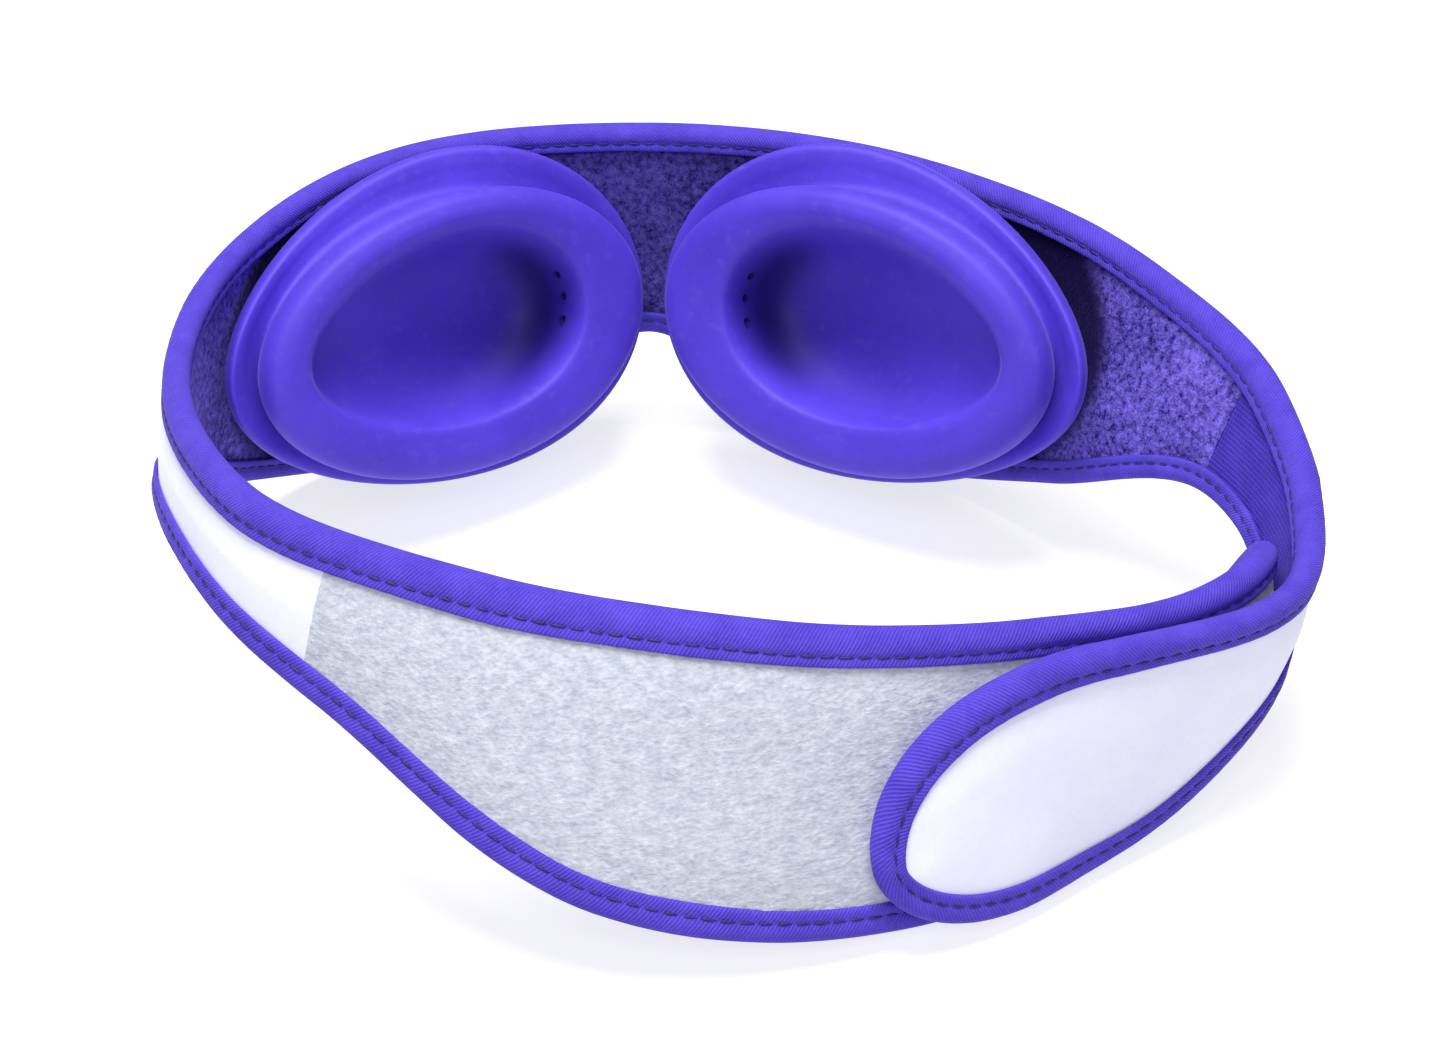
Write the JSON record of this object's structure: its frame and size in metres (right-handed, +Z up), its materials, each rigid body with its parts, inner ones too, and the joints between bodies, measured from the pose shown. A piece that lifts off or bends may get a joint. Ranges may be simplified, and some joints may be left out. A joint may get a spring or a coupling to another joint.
{
  "type": "eye massager mask",
  "caption": "Padded strap eye mask with soft silicone eye cups inside a fabric band that fastens behind the head with a hook tab.",
  "frame": {"origin": "on the surface the mask stands on, under the middle of the box round the whole mask", "axes": "+X toward the wearer's right, +Y the way the wearer faces, +Z up"},
  "size_m": [0.1936, 0.179, 0.0647],
  "materials": {
    "white_face": "smooth laminated fabric, slightly sheened",
    "loop_pile": "short brushed loop pile",
    "foam": "thin soft padding, hidden",
    "fleece": "short mottled fleece",
    "knit": "smooth fine knit",
    "binding_tape": "fine diagonal twill tape with a lockstitched edge",
    "hook_tape": "moulded hook tape",
    "silicone": "satin silicone",
    "cup_plate": "plain moulded disc, hidden"
  },
  "bodies": {
    "front": {"front_face": "white_face", "front_foam": "foam", "front_lining": "fleece", "front_upper_binding": "binding_tape", "front_lower_binding": "binding_tape"},
    "right_strap": {"right_strap_face": "white_face", "right_strap_foam": "foam", "right_strap_lining": "knit", "right_strap_upper_binding": "binding_tape", "right_strap_lower_binding": "binding_tape"},
    "tab": {"tab_face": "white_face", "tab_foam": "foam", "tab_lining": "knit", "tab_binding": "binding_tape", "tab_hook_patch": "hook_tape"},
    "left_strap": {"left_strap_face": "white_face", "left_strap_loop_panel": "loop_pile", "left_strap_foam": "foam", "left_strap_lining": "knit", "left_strap_binding": "binding_tape"},
    "right_pad": {"right_cup_hook_pad": "hook_tape"},
    "right_cup": {"right_cup": "silicone", "right_cup_plate": "cup_plate"},
    "left_pad": {"left_cup_hook_pad": "hook_tape"},
    "left_cup": {"left_cup": "silicone", "left_cup_plate": "cup_plate"}
  },
  "joints": [
    {"name": "right_strap_swing", "type": "hinge", "parent": "front", "child": "right_strap", "pos_m": [0.08901, -0.00901, 0.03], "axis": [0.3289, 0.0401, 0.9435], "range_deg": [0, 75]},
    {"name": "left_strap_swing", "type": "hinge", "parent": "front", "child": "left_strap", "pos_m": [-0.09715, 0.0169, 0.03], "axis": [0.1894, -0.0281, 0.9815], "range_deg": [-22.5, 0]},
    {"name": "tab_peel", "type": "hinge", "parent": "right_strap", "child": "tab", "pos_m": [0.08342, -0.05817, 0.03], "axis": [0.0858, -0.0789, 0.9932], "range_deg": [0, 60]},
    {"name": "right_cup_place", "type": "hinge", "parent": "front", "child": "right_pad", "pos_m": [-0.00367, -0.0025, 0.04597], "axis": [0.1263, 0.1355, 0.9827], "range_deg": [-3.5, 1.5]},
    {"name": "right_cup_turn", "type": "hinge", "parent": "right_pad", "child": "right_cup", "pos_m": [0.04994, 0.055, 0.03115], "axis": [-0.6702, -0.7187, 0.1853], "range_deg": [-12, 12]},
    {"name": "left_cup_place", "type": "hinge", "parent": "front", "child": "left_pad", "pos_m": [-0.01763, 0.00484, 0.0396], "axis": [-0.0527, 0.111, 0.9924], "range_deg": [-1.5, 3]},
    {"name": "left_cup_turn", "type": "hinge", "parent": "left_pad", "child": "left_cup", "pos_m": [-0.05169, 0.07656, 0.02977], "axis": [0.4258, -0.8965, 0.1229], "range_deg": [-4, 11]}
  ],
  "couplings": [
    {"joint": "left_strap_swing", "follows": "right_strap_swing", "ratio": -0.3}
  ]
}
